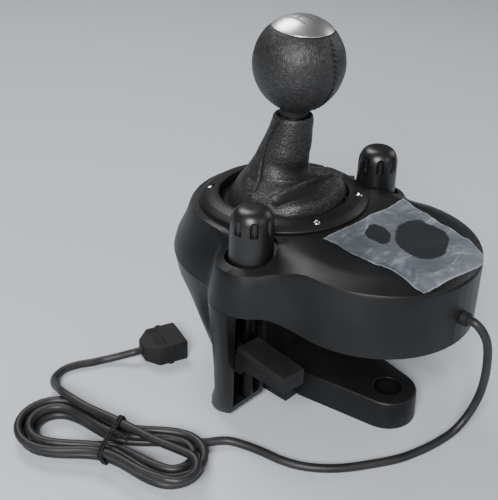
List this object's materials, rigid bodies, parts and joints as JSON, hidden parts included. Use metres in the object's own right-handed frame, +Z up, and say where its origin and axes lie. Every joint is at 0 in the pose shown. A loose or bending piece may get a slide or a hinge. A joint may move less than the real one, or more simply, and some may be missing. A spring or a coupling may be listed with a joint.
{
  "type": "gear shifter",
  "caption": "Table-clamped racing simulator gear shifter: leather ball lever in a two-axis gimbal with a press-down reverse, screw-driven table clamp, and a coiled cord with plug.",
  "frame": {"origin": "under the lever's pivot, on the plane the housing stands on", "axes": "+X to the driver's right, +Y forward along the tongue, +Z up"},
  "size_m": [0.2413, 0.2084, 0.2091],
  "materials": {
    "casing": "fine matt grain",
    "gloss": "satin to gloss",
    "hide": "pebbled leather",
    "rubber": "matt",
    "cord": "satin sheath",
    "steel": "plain",
    "cap": "satin anodised",
    "brass": "plain",
    "nylon": "plain",
    "board": "lacquered"
  },
  "bodies": {
    "housing": {"top_cover": "casing", "lower_housing": "casing", "centre_foot": "casing", "tongue_base": "casing", "bezel_ring": "casing", "badge_disc": "gloss", "board_chips": "gloss", "cord_tie": "gloss", "boot": "hide", "table_pads": "rubber", "cord_gland": "rubber", "plug_hood": "rubber", "plug_cover": "rubber", "cord_lead": "cord", "cord_hank": "cord", "cord_tail": "cord", "base_screws": "steel", "bezel_screws": "steel", "cradle_screws": "steel", "gate_plate": "steel", "plug_shell": "steel", "plug_screws": "steel", "gimbal_cradle": "nylon", "left_knob_bush": "nylon", "right_knob_bush": "nylon", "circuit_board": "board", "shift_sensor": "board"},
    "gimbal": {"gimbal_yoke": "nylon", "gimbal_pins": "steel", "select_sensor": "board", "centring_spring": "steel"},
    "lever": {"lever_tube": "steel", "lever_pin": "steel", "boot_collar": "gloss", "press_spring": "steel"},
    "stick": {"lever_shaft": "steel", "retaining_pin": "steel", "knob_core": "gloss", "knob_leather": "hide", "knob_cap": "cap"},
    "left_knob": {"left_clamp_knob": "gloss", "left_clamp_screw": "steel"},
    "right_knob": {"right_clamp_knob": "gloss", "right_clamp_screw": "steel"},
    "left_clamp": {"left_jaw": "casing", "left_jaw_nut": "brass", "left_jaw_pad": "rubber"},
    "right_clamp": {"right_jaw": "casing", "right_jaw_nut": "brass", "right_jaw_pad": "rubber"}
  },
  "joints": [
    {"name": "shift", "type": "hinge", "parent": "housing", "child": "gimbal", "pos_m": [0, 0, 0.085], "axis": [1, 0, 0], "range_deg": [-11, 11], "deforming": ["boot"]},
    {"name": "select", "type": "hinge", "parent": "gimbal", "child": "lever", "pos_m": [0, 0, 0.085], "axis": [0, 0.9986, -0.0523], "range_deg": [-8, 8], "stiffness_Nm_per_rad": 1, "deforming": ["boot", "centring_spring"]},
    {"name": "reverse_press", "type": "slide", "parent": "lever", "child": "stick", "axis": [0, 0.0523, 0.9986], "range_m": [-0.004, 0], "stiffness_N_per_m": 1000, "springref_m": 0.004, "deforming": ["press_spring"]},
    {"name": "left_knob_turn", "type": "hinge", "parent": "housing", "child": "left_knob", "pos_m": [-0.0538, 0.0248, 0.1], "axis": [0, 0, 1], "range_deg": [-1440, 2520]},
    {"name": "left_jaw_slide", "type": "slide", "parent": "housing", "child": "left_clamp", "axis": [0, 0, 1], "range_m": [-0.0211, 0.0121]},
    {"name": "right_knob_turn", "type": "hinge", "parent": "housing", "child": "right_knob", "pos_m": [0.0538, 0.0248, 0.1], "axis": [0, 0, 1], "range_deg": [-1440, 2520]},
    {"name": "right_jaw_slide", "type": "slide", "parent": "housing", "child": "right_clamp", "axis": [0, 0, 1], "range_m": [-0.0211, 0.0121]}
  ],
  "couplings": [
    {"joint": "left_jaw_slide", "follows": "left_knob_turn", "m_per_rad": -0.00047746},
    {"joint": "right_jaw_slide", "follows": "right_knob_turn", "m_per_rad": -0.00047746}
  ]
}
